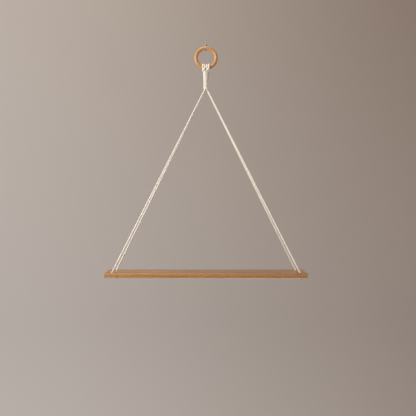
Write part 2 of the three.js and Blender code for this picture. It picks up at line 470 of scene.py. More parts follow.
@dataclass(frozen=True)
class WoodFinish:
    """Solid wood whose grain runs along X, seen as growth rings, fibres, pores, clouds and stains."""

    CLOUDS = Pattern(scale=32.0, low=0.35, high=0.68)
    STAINS = Pattern(scale=300.0, low=0.45, high=0.66, detail=5.0, roughness=0.62, squeeze=(0.45, 1.0, 1.0))
    PORES = Pattern(scale=1700.0, low=0.6, high=0.68, squeeze=(0.09, 1.0, 1.0))
    UNSCALED_SPACING = math.pi / 10  # between the rings of a wave texture whose scale is 1

    name: str
    light: Colour
    middle: Colour
    dark: Colour
    pith: Place  # the middle of the growth rings
    lean: Place  # how far the grain is turned away from X, in radians
    ring_spacing: float
    wander: float  # how far the growth rings stray from their course
    fibre_width: float
    ring_weight: float  # a weight is the share of the dark colour that a pattern adds
    pore_weight: float
    stain_weight: float
    roughness: float
    coat: float
    relief: float
    ring_squeeze: Place = (0.06, 1.0, 1.0)
    late_wood: float = 2.2  # a power: the higher, the thinner the dark line in each growth ring
    fibre_weight: float = 0.8  # the share of the light colour that the fibres add
    cloud_weight: float = 0.22
    ring_gloss: float = 0.08  # how much less rough the dark lines are
    coat_roughness: float = 0.3
    pore_depth: float = 1.6  # against the depth between the fibres
    relief_strength: float = 0.6

    def material(self) -> bpy.types.Material:
        """Build the wood.

        Returns:
            The finished material.
        """
        recipe = Recipe(self.name)
        place = recipe.place()
        along = recipe.node("Mapping", Vector=place, Scale=self.ring_squeeze, Rotation=self.lean)
        late = self._growth_rings(recipe, along.outputs["Vector"])
        fibres = recipe.pattern(place, self._fibre_pattern())
        clouds = recipe.pattern(along.outputs["Vector"], self.CLOUDS)
        stains = recipe.pattern(place, self.STAINS)
        pores = recipe.pattern(place, self.PORES)
        colour = recipe.tint(self.middle, self.light, fibres, self.fibre_weight)
        for where, weight in ((late, self.ring_weight), (clouds, self.cloud_weight),
                              (stains, self.stain_weight), (pores, self.pore_weight)):
            colour = recipe.tint(colour, self.dark, where, weight)
        gloss = recipe.graded(self.roughness, late, -self.ring_gloss * self.ring_weight)
        recipe.surface(Base_Color=colour, Roughness=gloss, Coat_Weight=self.coat,
                       Coat_Roughness=self.coat_roughness)
        height = recipe.math("SUBTRACT", fibres, recipe.math("MULTIPLY", pores, self.pore_depth))
        recipe.bump(height, self.relief, self.relief_strength)
        return recipe.material

    def _fibre_pattern(self) -> Pattern:
        """Return the pattern of the long fibres."""
        return Pattern(scale=1 / self.fibre_width, low=0.32, high=0.7, detail=6.0, roughness=0.62,
                       distortion=0.2, squeeze=(0.035, 1.0, 1.0))

    def _growth_rings(self, recipe: Recipe, along: Socket) -> Socket:
        """Draw the growth rings round the pith, wandering a little on their way.

        Args:
            recipe: The material's recipe.
            along: Coordinates that are drawn out along the grain.

        Returns:
            How late in its year the wood grew, 0 to 1.
        """
        drift = recipe.node("TexNoise", Vector=along, Scale=14.0, Detail=3.0, Roughness=0.5)
        offset = recipe.vector("MULTIPLY", drift.outputs["Color"], (self.wander, self.wander, self.wander))
        centred = recipe.vector("SUBTRACT", recipe.vector("ADD", along, offset), self.pith)
        rings = recipe.node("TexWave", wave_type="RINGS", rings_direction="X", wave_profile="SAW",
                            Vector=centred, Scale=self.UNSCALED_SPACING / self.ring_spacing,
                            Distortion=1.6, Detail=3.0, Detail_Scale=1.4, Detail_Roughness=0.55)
        return recipe.math("POWER", rings.outputs["Fac"], self.late_wood)


@dataclass(frozen=True)
class CottonFinish:
    """Natural cotton whose fine fibres run aslant along each ply, on the map that a strand carries."""

    FIBRES = Pattern(scale=1.0, low=0.34, high=0.66, detail=4.0, roughness=0.6)
    PATCHES = Pattern(scale=90.0, low=0.35, high=0.7, detail=3.0)
    FLECKS = Pattern(scale=1500.0, low=0.72, high=0.77, detail=1.0)

    name: str
    light: Colour
    shade: Colour
    seed_fleck: Colour
    fibres_round: float  # spots of the fibres' pattern round a ply
    fibres_along: float  # and along one length of the map
    aslant: float  # how many times a fibre goes round its ply in that length
    relief: float
    patch_weight: float = 0.25
    fleck_weight: float = 0.35
    roughness: float = 0.92
    sheen: float = 0.25
    sheen_roughness: float = 0.45
    specular: float = 0.2

    def material(self) -> bpy.types.Material:
        """Build the cotton.

        Returns:
            The finished material.
        """
        recipe = Recipe(self.name)
        place = recipe.place()
        fibres = recipe.pattern(self._rolled_map(recipe), self.FIBRES)
        colour = recipe.mix(fibres, self.shade, self.light)
        colour = recipe.tint(colour, self.shade, recipe.pattern(place, self.PATCHES), self.patch_weight)
        colour = recipe.tint(colour, self.seed_fleck, recipe.pattern(place, self.FLECKS), self.fleck_weight)
        recipe.surface(Base_Color=colour, Roughness=self.roughness, Sheen_Weight=self.sheen,
                       Sheen_Roughness=self.sheen_roughness, Specular_IOR_Level=self.specular)
        recipe.bump(fibres, self.relief, 1.0)
        return recipe.material

    def _rolled_map(self, recipe: Recipe) -> Socket:
        """Roll the strand's map up, so that a pattern on it closes round each ply.

        Args:
            recipe: The material's recipe.

        Returns:
            The rolled coordinates.
        """
        ply_map = recipe.node("UVMap", uv_map=StrandMesh.MAP).outputs["UV"]
        lay = recipe.node("SeparateXYZ", Vector=ply_map).outputs
        slanted = recipe.math("ADD", lay["X"], recipe.math("MULTIPLY", lay["Y"], self.aslant))
        angle = recipe.math("MULTIPLY", slanted, FULL_TURN)
        reach = self.fibres_round / FULL_TURN
        rolled = recipe.node("CombineXYZ", X=recipe.math("MULTIPLY", recipe.math("COSINE", angle), reach),
                             Y=recipe.math("MULTIPLY", recipe.math("SINE", angle), reach),
                             Z=recipe.math("MULTIPLY", lay["Y"], self.fibres_along))
        return rolled.outputs["Vector"]


@dataclass(frozen=True)
class SteelFinish:
    """Plain steel with fine drawn lines and a little dulling."""

    DRAWN_LINES = Pattern(scale=6000.0, low=0.0, high=1.0, detail=3.0, squeeze=(1.0, 0.08, 0.08))
    DULL_SPOTS = Pattern(scale=420.0, low=0.42, high=0.66, detail=4.0)

    name: str
    bright: Colour
    dull: Colour
    roughness: float
    dull_roughness: float = 0.18
    relief: float = 0.02 * MM
    relief_strength: float = 0.5

    def material(self) -> bpy.types.Material:
        """Build the steel.

        Returns:
            The finished material.
        """
        recipe = Recipe(self.name)
        place = recipe.place()
        dulled = recipe.pattern(place, self.DULL_SPOTS)
        recipe.surface(Base_Color=recipe.mix(dulled, self.bright, self.dull), Metallic=1.0,
                       Roughness=recipe.graded(self.roughness, dulled, self.dull_roughness))
        recipe.bump(recipe.pattern(place, self.DRAWN_LINES), self.relief, self.relief_strength)
        return recipe.material


class StrandMesh:
    """Gathers tubes into one mesh, with the map that their fibres follow."""

    MAP = "ply"
    MAP_LENGTH = 10 * MM  # the length of tube on which the map goes from 0 to 1

    def __init__(self) -> None:
        """Start with no tubes."""
        self.points: list[np.ndarray] = []
        self.faces: list[list[int]] = []
        self.map: list[np.ndarray] = []
        self.count = 0

    def tube(self, rings: np.ndarray, distance: np.ndarray, turn: float = 1.0) -> None:
        """Add a tube with closed ends.

        Args:
            rings: The points, by ring, side and axis.
            distance: Each ring's distance along the tube, for the map.
            turn: How much of the map's width goes round the tube, 0 for a tube without fibres of its own.
        """
        count, sides = rings.shape[:2]
        ring = np.arange(count - 1)[:, None] * sides
        side = np.arange(sides)[None, :]
        after = (side + 1) % sides
        quads = np.stack([ring + side, ring + after, ring + sides + after, ring + sides + side], axis=2)
        ends = (np.arange(sides)[::-1], np.arange(sides) + (count - 1) * sides)
        self.points.append(rings.reshape(-1, 3))
        self.faces.extend((quads.reshape(-1, 4) + self.count).tolist())
        self.faces.extend((end + self.count).tolist() for end in ends)
        low, high = distance[:-1] / self.MAP_LENGTH, distance[1:] / self.MAP_LENGTH
        shape = (count - 1, sides, 4)
        across = np.broadcast_to(np.stack([side, side + 1, side + 1, side], axis=2) * turn / sides, shape)
        along = np.broadcast_to(np.stack([low, low, high, high], axis=1)[:, None, :], shape)
        self.map.append(np.stack([across.ravel(), along.ravel()], axis=1))
        self.map.append(np.zeros((2 * sides, 2)))
        self.count += count * sides

    def piece(self, name: str) -> bpy.types.Object:
        """Make the object.

        Args:
            name: The object's name.

        Returns:
            The object, at the origin and shaded smooth.
        """
        mesh = bpy.data.meshes.new(name)
        mesh.from_pydata(np.vstack(self.points), [], self.faces)
        layer = mesh.uv_layers.new(name=self.MAP)
        layer.data.foreach_set("uv", np.vstack(self.map).ravel())
        mesh.polygons.foreach_set("use_smooth", [True] * len(mesh.polygons))
        mesh.update()
        piece = bpy.data.objects.new(name, mesh)
        bpy.context.scene.collection.objects.link(piece)
        return piece


@dataclass(frozen=True)
class CordLay:
    """How a cord is laid up from its plies."""

    diameter: float
    plies: int
    lay_length: float  # in which a ply goes once round the cord
    sides: int  # of each ply's round
    step: float  # from one ring of points to the next

    def ply_radius(self) -> float:
        """Return the radius of one ply where the plies touch each other."""
        return self.diameter / 2 / (1 + 1 / math.sin(math.pi / self.plies))


@dataclass
class Route:
    """A smooth line through stations, cut into even steps."""

    FEWEST_STEPS = 4
    POINTS_PER_SPAN = 48  # between two stations, before the line is cut evenly

    stations: Sequence[Vector]
    step: float
    points: np.ndarray = field(init=False)

    def __post_init__(self) -> None:
        """Work out the line's points."""
        dense = self._through(np.array([tuple(station) for station in self.stations]))
        spans = np.linalg.norm(np.diff(dense, axis=0), axis=1)
        reach = np.concatenate([[0.0], np.cumsum(spans)])
        count = max(self.FEWEST_STEPS, round(reach[-1] / self.step))
        even = np.linspace(0.0, reach[-1], count + 1)
        self.points = np.stack([np.interp(even, reach, dense[:, axis]) for axis in range(3)], axis=1)

    def _through(self, stations: np.ndarray) -> np.ndarray:
        """Draw a centripetal spline, which doesn't overshoot at stations that lie close together.

        Args:
            stations: The points to pass through, one a row.

        Returns:
            The spline's points, one a row.
        """
        before, after = 2 * stations[0] - stations[1], 2 * stations[-1] - stations[-2]
        guides = np.vstack([before, stations, after])
        drawn = [self._span(guides[i:i + 4]) for i in range(len(stations) - 1)]
        return np.vstack([*drawn, stations[-1:]])

    def _span(self, p: np.ndarray) -> np.ndarray:
        """Draw the spline between the middle two of four points.

        Args:
            p: The four points, one a row.

        Returns:
            The span's points, one a row, without the last.
        """
        knots = [0.0]
        for a, b in pairwise(p):
            knots.append(knots[-1] + math.sqrt(np.linalg.norm(b - a)))
        t = np.linspace(knots[1], knots[2], self.POINTS_PER_SPAN, endpoint=False)[:, None]
        rows = list(p)
        for reach in (1, 2):
            rows = [((knots[k + reach] - t) * rows[k] + (t - knots[k]) * rows[k + 1])
                    / (knots[k + reach] - knots[k]) for k in range(4 - reach)]
        return ((knots[2] - t) * rows[0] + (t - knots[1]) * rows[1]) / (knots[2] - knots[1])

    @property
    def length(self) -> float:
        """Return the line's length."""
        return float(np.linalg.norm(np.diff(self.points, axis=0), axis=1).sum())

    def frames(self) -> tuple[np.ndarray, np.ndarray, np.ndarray]:
        """Carry a frame along the line without twist.

        Returns:
            The tangents, normals and binormals, one of each a point.
        """
        tangents = unit(np.gradient(self.points, axis=0))
        normals = [unit(np.cross(tangents[0], (0.0, 1.0, 0.0)))]
        for after in tangents[1:]:
            normals.append(unit(normals[-1] - after * np.dot(normals[-1], after)))
        return tangents, np.array(normals), np.cross(tangents, normals)


@dataclass
class TwistedCord:
    """A cord of real plies wound round each other along a route."""

    lay: CordLay
    route: Route
    swell: float = 1.0  # how many times its own size the cord is
    phase: float = 0.0  # where round the cord its first ply starts, in turns

    def rings(self) -> tuple[np.ndarray, np.ndarray]:
        """Place every ply's rings of points.

        Returns:
            The points, by ply, ring, side and axis, and each ring's distance along the cord.
        """
        lay = self.lay
        tangent, normal, binormal = self.route.frames()
        distance = np.linspace(0.0, self.route.length, len(self.route.points))
        radius = lay.ply_radius() * self.swell
        offset = lay.diameter / 2 * self.swell - radius
        pitch = FULL_TURN * offset / lay.lay_length
        around = FULL_TURN * np.arange(lay.sides)[None, :, None] / lay.sides
        made = []
        for ply in range(lay.plies):
            turn = FULL_TURN * (distance / lay.lay_length + ply / lay.plies + self.phase)
            cos, sin = np.cos(turn)[:, None], np.sin(turn)[:, None]
            outward = normal * cos + binormal * sin
            forward = unit(tangent + (binormal * cos - normal * sin) * pitch)
            across = np.cross(forward, outward)
            ring = outward[:, None, :] * np.cos(around) + across[:, None, :] * np.sin(around)
            centre = self.route.points + outward * offset
            made.append(centre[:, None, :] + ring * radius)
        return np.array(made), distance

    def weave(self, mesh: StrandMesh) -> None:
        """Add every ply to a mesh.

        Args:
            mesh: The mesh.
        """
        plies, distance = self.rings()
        for ply in plies:
            mesh.tube(ply, distance)


@dataclass(frozen=True)
class StrayFibres:
    """Short fibres that stand off a cord's surface and run roughly along its plies."""

    per_metre: int  # of the whole cord, before those outside the two heights are left off
    shortest: float
    longest: float
    radius: float
    seed: int
    aside: float = 0.7  # the greatest angle from its ply, in radians
    lift: tuple[float, float] = (0.12, 0.8)  # the least and greatest angle off the surface
    curl_aside: tuple[float, float] = (-0.5, 0.5)  # how far it bends, in shares of its length
    curl_out: tuple[float, float] = (-0.35, 0.2)
    taper: tuple[float, ...] = (1.0, 0.85, 0.6, 0.3)  # shares of the radius, from root to tip
    sides: int = 3

    def grow(self, mesh: StrandMesh, cord: TwistedCord, low: float, high: float) -> None:
        """Add fibres to the part of a cord that lies between two heights.

        Args:
            mesh: The mesh that the fibres join.
            cord: The cord that they grow on.
            low: The lowest height.
            high: The greatest height.
        """
        plies, _ = cord.rings()
        chance = np.random.default_rng(self.seed)
        count = round(self.per_metre * cord.route.length)
        ply = chance.integers(0, plies.shape[0], count)
        ring = chance.integers(1, plies.shape[1] - 2, count)
        side = chance.integers(-1, 2, count)  # the three sides of a ply that look outwards
        root = plies[ply, ring, side]
        kept = (root[:, 2] > low) & (root[:, 2] < high)
        ply, ring, root = ply[kept], ring[kept], root[kept]
        middle = plies[ply, ring].mean(axis=1)
        forward = unit(plies[ply, ring + 1].mean(axis=1) - middle)
        tubes = self._tubes(chance, root, forward, unit(root - middle))
        for rings, station in zip(tubes, ring, strict=True):
            mesh.tube(rings, np.full(len(self.taper), station * cord.route.step), turn=0.0)

    def _tubes(self, chance: np.random.Generator, root: np.ndarray, forward: np.ndarray,
               outward: np.ndarray) -> np.ndarray:
        """Give each fibre its heading, curl and length, and shape it.

        Args:
            chance: Where the random draws come from.
            root: Where each fibre starts, one a row.
            forward: The way its ply runs there.
            outward: The way out of its ply there.

        Returns:
            The points, by fibre, ring, side and axis.
        """
        count = len(root)
        aside = np.cross(forward, outward)
        heading = chance.uniform(-self.aside, self.aside, count)[:, None]
        heading = heading + math.pi * chance.integers(0, 2, count)[:, None]  # half of them point back
        lift = chance.uniform(*self.lift, count)[:, None]
        flat = forward * np.cos(heading) + aside * np.sin(heading)
        course = flat * np.cos(lift) + outward * np.sin(lift)
        curl = aside * chance.uniform(*self.curl_aside, count)[:, None]
        curl = curl + outward * chance.uniform(*self.curl_out, count)[:, None]
        reach = chance.uniform(self.shortest, self.longest, count)[:, None, None]
        beside = unit(np.cross(course, outward))
        over = np.cross(course, beside)
        share = np.linspace(0.0, 1.0, len(self.taper))[None, :, None]
        line = root[:, None] + reach * (course[:, None] * share + curl[:, None] * share * share)
        corner = FULL_TURN * np.arange(self.sides)[None, :, None] / self.sides
        edge = beside[:, None] * np.cos(corner) + over[:, None] * np.sin(corner)
        width = self.radius * np.array(self.taper)[None, :, None, None]
        return line[:, :, None] + width * edge[:, None]


@dataclass
class HangLine:
    """The line from the ring's top to the strands' meeting point, and the ring on it."""

    band_radius: float = 4.5 * MM
    ring_radius: float = 25.5 * MM
    standoff: float = 6.2 * MM  # of the ring's top from the model's back
    band_top: float = -6.0 * MM  # the height of the band's middle there

    def tilt(self) -> float:
        """Work out how far the line leans out at the bottom.

        Returns:
            The angle from upright, in radians.
        """
        low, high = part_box("shelf_board")
        middle = (low[1] + high[1]) / 2
        return math.atan2(-middle - self.standoff, self.band_top - high[2])

    def frame(self) -> Matrix:
        """Return the matrix from the line's own frame, which starts in the ring's band, to the model's."""
        place = Matrix.Translation((0.0, -self.standoff, self.band_top))
        return place @ Matrix.Rotation(-self.tilt(), 4, "X")

    def height(self, z: float) -> float:
        """Return the model's height of a point of the line that is given by its own height."""
        return (self.frame() @ Vector((0.0, 0.0, z))).z

    def round_the_band(self, x: float, degrees: float, distance: float) -> Vector:
        """Place a point on a turn of cord round the bottom of the ring.

        Args:
            x: How far across the ring.
            degrees: The angle round the band, 0 in front and rising over the inside of the ring.
            distance: How far from the band's middle.

        Returns:
            The point in the line's frame.
        """
        angle = math.radians(degrees)
        reach = self.ring_radius - distance * math.sin(angle)
        drop = math.sqrt(reach * reach - x * x)
        return Vector((x, -distance * math.cos(angle), -self.ring_radius - drop))


@dataclass
class ShelfBoard:
    """The plank, with softened edges and its four cord holes."""

    edge: float = 0.8 * MM  # how far the plank's rounded edges reach
    edge_steps: int = 4
    hole_radius: float = 3.0 * MM
    hole_sides: int = 40
    drill_length: float = 33 * MM
    rim: float = 0.25 * MM  # how far the rounded edges of its holes reach
    rim_steps: int = 2
    rim_degrees: float = 60.0
    front_hole: tuple[float, float] = (233 * MM, -83 * MM)
    back_hole: tuple[float, float] = (229 * MM, -16 * MM)
    finish: WoodFinish = WoodFinish(
        name="oiled_plank", light=srgb(200, 155, 106), middle=srgb(173, 125, 77), dark=srgb(108, 68, 36),
        pith=(0.0, -0.048, -0.66), lean=(0.0, 0.012, 0.02), ring_spacing=7.5 * MM, wander=0.03,
        fibre_width=1.1 * MM, ring_weight=0.62, pore_weight=0.45, stain_weight=0.6,
        roughness=0.34, coat=0.1, relief=0.08 * MM)

    def build(self) -> list[bpy.types.Object]:
        """Model and dress the board.

        Returns:
            The finished board.
        """
        low, high = (Vector(corner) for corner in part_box("shelf_board"))
        board = Bench.block("board", low, high)
        bpy.ops.object.mode_set(mode="EDIT")
        bpy.ops.mesh.select_all(action="SELECT")
        bpy.ops.mesh.bevel(offset=self.edge, segments=self.edge_steps, affect="EDGES")
        bpy.ops.object.mode_set(mode="OBJECT")
        for side in Side:
            for x, y in (self.front_hole, self.back_hole):
                middle = (side.value * x, y, (low.z + high.z) / 2)
                drill = Bench.rod("drill", middle, self.hole_radius, self.drill_length, self.hole_sides)
                Bench.cut(board, drill)
        Bench.soften(board, self.rim, self.rim_steps, self.rim_degrees)
        Bench.smooth(board)
        board.data.materials.append(self.finish.material())
        Bench.hand_over(board, Slot.BOARD_WOOD, "shelf_board")
        return [board]


@dataclass
class WoodenRing:
    """The turned ring that the cords are hitched to."""

    line: HangLine
    steps_round: int = 144
    steps_across: int = 40
    smooth_degrees: float = 60.0
    finish: WoodFinish = WoodFinish(
        name="turned_beech", light=srgb(212, 165, 110), middle=srgb(189, 136, 79), dark=srgb(140, 88, 42),
        pith=(0.0, 0.05, 0.02), lean=(0.0, 0.2, 0.1), ring_spacing=3.2 * MM, wander=0.012,
        fibre_width=0.55 * MM, ring_weight=0.3, pore_weight=0.3, stain_weight=0.12,
        roughness=0.38, coat=0.3, relief=0.04 * MM)

    def build(self) -> list[bpy.types.Object]:
        """Model and dress the ring.

        Returns:
            The finished ring.
        """
        line = self.line
        Bench.clear()
        bpy.ops.mesh.primitive_torus_add(
            major_segments=self.steps_round, minor_segments=self.steps_across,
            major_radius=line.ring_radius, minor_radius=line.band_radius,
            location=line.frame() @ Vector((0.0, 0.0, -line.ring_radius)),
            rotation=(QUARTER_TURN - line.tilt(), 0.0, 0.0))
        ring = Bench.named("ring")
        Bench.smooth(ring, self.smooth_degrees)
        ring.data.materials.append(self.finish.material())
        Bench.hand_over(ring, Slot.RING_WOOD, "wooden_ring")
        return [ring]


@dataclass(frozen=True)
class HitchStation:
    """A station of half a hitch on its way round the ring's band."""

    degrees: float  # round the band, 0 in front and rising over the inside of the ring
    spread: float = 1.0  # how much of the leg's distance from the hitch's middle it keeps
    away: float = 0.0  # how much further from the band it lies than a cord on it


@dataclass(frozen=True)
class Tuck:
    """A station of the wrapping cord where its end goes into the knot."""

    turns: float  # past the last turn, or before the first
    inward: float  # how much of the wrap's radius it keeps
    along: float  # how far into the knot


@dataclass
class MacrameHanger:
    """Two looped cords and the cord that wraps them, knotted as one piece of macrame."""

    line: HangLine
    board: ShelfBoard
    lay: CordLay = CordLay(diameter=4.0 * MM, plies=3, lay_length=12 * MM, sides=8, step=1.1 * MM)
    wrap_lay: CordLay = CordLay(diameter=3.1 * MM, plies=3, lay_length=10 * MM, sides=8, step=0.9 * MM)

    # The hitches on the ring, where the cord is pressed wide.
    hitch_diameter: float = 4.6 * MM
    hitch_spacing: float = 9.9 * MM  # from middle to middle
    hitch_gap: float = 0.4 * MM
    hitch_phase: float = 0.15  # where round the cord its first ply starts there, in turns
    leg_offset: float = 2.45 * MM  # from its hitch's middle
    leg_in_knot: float = 6.0 * MM  # below the wrapping knot's top
    half_hitch: tuple[HitchStation, ...] = (
        HitchStation(-58, spread=0.55, away=0.6 * MM), HitchStation(-34, spread=0.85),
        *(HitchStation(degrees) for degrees in (-8, 24, 56, 90, 124, 156, 188)),
        HitchStation(220, spread=1.03), HitchStation(250, spread=1.08),
        HitchStation(276, spread=1.12, away=0.4 * MM), HitchStation(300, spread=1.1, away=1.8 * MM),
        HitchStation(320, spread=0.7, away=3.5 * MM))
    bar_middle: HitchStation = HitchStation(336, spread=0.0, away=4.1 * MM)

    # The wrapping knot, in the line's frame.
    wrap_drop: float = 6.0 * MM
    wrap_height: float = 50.5 * MM
    wrap_top_radius: float = 7.8 * MM
    wrap_bottom_radius: float = 6.3 * MM
    wrap_turns: int = 16
    stations_per_turn: int = 16
    tucks: tuple[Tuck, ...] = (Tuck(0.12, 0.75, 1 * MM), Tuck(0.25, 0.35, 3 * MM))

    # The strands, from inside the knot to under the board.
    core_offset: float = 2.2 * MM  # of each strand from the knot's middle, on both axes
    core_start: float = 4 * MM  # below the knot's top
    core_ends: tuple[float, ...] = (14 * MM, 7 * MM)  # above the knot's bottom
    exit_x: float = 3.0 * MM
    exit_y: float = 2.3 * MM
    straight_at: tuple[float, ...] = (0.02, 0.06, 0.5, 0.96, 0.99, 1.0)  # shares of the free length
    foot_inset: float = 0.55 * MM  # inwards from the hole's middle, as the strand leans in
    hole_from: float = 3.2 * MM  # below the board's top
    hole_to: float = 3.5 * MM  # above its underside
    under_gap: float = 0.3 * MM
    under_bend: float = 3.0 * MM
    bend_degrees: tuple[float, ...] = (0.0, 30.0, 60.0, 90.0)
    under_at: tuple[float, ...] = (14 * MM, 100 * MM)  # inwards from the hole

    # The stray fibres keep clear of the board, the knot's foot and the hitches.
    fuzz_over_board: float = 5 * MM
    fuzz_under_knot: float = 3 * MM
    fuzz_under_wrap_top: float = 8 * MM
    fuzz: StrayFibres = StrayFibres(
        per_metre=1500, shortest=0.7 * MM, longest=2.6 * MM, radius=0.03 * MM, seed=7)
    finish: CottonFinish = CottonFinish(
        name="natural_cotton", light=srgb(248, 245, 239), shade=srgb(227, 218, 205),
        seed_fleck=srgb(176, 150, 118), fibres_round=26.0, fibres_along=3.2, aslant=0.8, relief=0.1 * MM)

    @property
    def wrap_top(self) -> float:
        """Return the height of the wrapping knot's top in the line's frame."""
        return -2 * self.line.ring_radius - self.wrap_drop

    @property
    def wrap_bottom(self) -> float:
        """Return the height of the wrapping knot's bottom in the line's frame."""
        return self.wrap_top - self.wrap_height

    def build(self) -> list[bpy.types.Object]:
        """Model and dress the cords.

        Returns:
            The two hanging cords and the wrapping cord.
        """
        cotton = self.finish.material()
        centre = self.hitch_spacing / 2
        made = [self._looped_cord("front_cord", Row.FRONT, self.board.front_hole, -centre),
                self._looped_cord("back_cord", Row.BACK, self.board.back_hole, centre),
                self._wrapping_cord()]
        for piece in made:
            piece.data.materials.append(cotton)
            Bench.hand_over(piece, Slot.COTTON, "macrame_hanger")
        return made

    def _looped_cord(self, name: str, row: Row, hole: tuple[float, float],
                     centre: float) -> bpy.types.Object:
        """Make one hanging cord: its hitch on the ring, and its run down and under the board.

        Args:
            name: The piece's name.
            row: Whether it holds the board's front or its back.
            hole: Where its right hole is.
            centre: How far across the ring its hitch sits.

        Returns:
            The cord.
        """
        down = [*self._strand(Side.LEFT, row, hole), *reversed(self._strand(Side.RIGHT, row, hole))]
        below = TwistedCord(self.lay, Route(down, self.lay.step))
        over = [*self._half_hitch(centre, Side.LEFT), self._on_hitch(centre, Side.LEFT, self.bar_middle),
                *reversed(self._half_hitch(centre, Side.RIGHT))]
        hitch = TwistedCord(self.lay, Route(over, self.lay.step / 2),
                            swell=self.hitch_diameter / self.lay.diameter, phase=self.hitch_phase)
        LOG.info("%s: %.0f mm of cord", name, (below.route.length + hitch.route.length) / MM)
        mesh = StrandMesh()
        below.weave(mesh)
        hitch.weave(mesh)
        board_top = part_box("shelf_board")[1][2]
        knot_foot = self.line.height(self.wrap_bottom - self.fuzz_under_knot)
        self.fuzz.grow(mesh, below, board_top + self.fuzz_over_board, knot_foot)
        return mesh.piece(name)

    def _strand(self, side: Side, row: Row, hole: tuple[float, float]) -> list[Vector]:
        """List the stations of a strand, from inside the wrapping knot to under the board.

        Args:
            side: Which end of the board it goes to.
            row: Whether it is a front or a back strand.
            hole: Where the right hole of its row is.

        Returns:
            The stations in the model's frame.
        """
        low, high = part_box("shelf_board")
        frame, way = self.line.frame(), side.value
        heights = (self.wrap_top - self.core_start, *(self.wrap_bottom + up for up in self.core_ends))
        inside = [frame @ Vector((way * self.core_offset, row.value * self.core_offset, z))
                  for z in heights]
        leaves = frame @ Vector((way * self.exit_x, row.value * self.exit_y, self.wrap_bottom))
        x, y = way * hole[0], hole[1]
        foot = Vector((x - way * self.foot_inset, y, high[2]))
        span = [leaves.lerp(foot, share) for share in self.straight_at]
        in_hole = [Vector((x, y, z)) for z in (high[2] - self.hole_from, low[2] + self.hole_to)]
        run, bend = low[2] - self.under_gap - self.lay.diameter / 2, self.under_bend
        turn = [Vector((x - way * bend * (1 - math.cos(angle)), y, run + bend * (1 - math.sin(angle))))
                for angle in map(math.radians, self.bend_degrees)]
        under = [Vector((x - way * reach, y, run)) for reach in self.under_at]
        return [*inside, leaves, *span, *in_hole, *turn, *under]

    def _half_hitch(self, centre: float, side: Side) -> list[Vector]:
        """List the stations of half a lark's head, from the wrapping knot round the ring to the bar.

        Args:
            centre: How far across the ring the hitch sits.
            side: Which half it is.

        Returns:
            The stations in the model's frame.
        """
        across = (centre + side.value * self.leg_offset) / 2
        start = self.line.frame() @ Vector((across, 0.0, self.wrap_top - self.leg_in_knot))
        return [start, *(self._on_hitch(centre, side, station) for station in self.half_hitch)]

    def _on_hitch(self, centre: float, side: Side, station: HitchStation) -> Vector:
        """Place a station of a hitch.

        Args:
            centre: How far across the ring the hitch sits.
            side: Which half it is.
            station: The station.

        Returns:
            The point in the model's frame.
        """
        across = centre + side.value * station.spread * self.leg_offset
        distance = self.line.band_radius + self.hitch_gap + self.hitch_diameter / 2 + station.away
        return self.line.frame() @ self.line.round_the_band(across, station.degrees, distance)

    def _wrapping_cord(self) -> bpy.types.Object:
        """Wind the wrapping cord round the strands, with both its ends tucked inside the knot.

        Returns:
            The wrapping cord.
        """
        last = self.wrap_turns * self.stations_per_turn
        turns = [self._on_wrap(step / last, step / self.stations_per_turn) for step in range(last + 1)]
        start = [self._on_wrap(0.0, -tuck.turns, tuck.inward, -tuck.along) for tuck in reversed(self.tucks)]
        end = [self._on_wrap(1.0, self.wrap_turns + tuck.turns, tuck.inward, tuck.along)
               for tuck in self.tucks]
        cord = TwistedCord(self.wrap_lay, Route([*start, *turns, *end], self.wrap_lay.step))
        LOG.info("wrapping_cord: %.0f mm of cord", cord.route.length / MM)
        mesh = StrandMesh()
        cord.weave(mesh)
        top = self.line.height(self.wrap_top - self.fuzz_under_wrap_top)
        self.fuzz.grow(mesh, cord, -math.inf, top)
        return mesh.piece("wrapping_cord")

    def _on_wrap(self, share: float, turn: float, inward: float = 1.0, lift: float = 0.0) -> Vector:
        """Place a point of the wrapping cord's middle.

        Args:
            share: How far down the knot it is, 0 at the top and 1 at the bottom.
            turn: How many turns round the knot it is.
            inward: How much of the full radius it keeps.
            lift: How much higher than its turn it lies.

        Returns:
            The point in the model's frame.
        """
        radius = self.wrap_lay.diameter / 2
        outer = (1 - share) * self.wrap_top_radius + share * self.wrap_bottom_radius
        reach = (outer - radius) * inward
        angle = FULL_TURN * turn
        z = self.wrap_top - radius - share * (self.wrap_height - 2 * radius) + lift
        return self.line.frame() @ Vector((reach * math.sin(angle), reach * math.cos(angle), z))


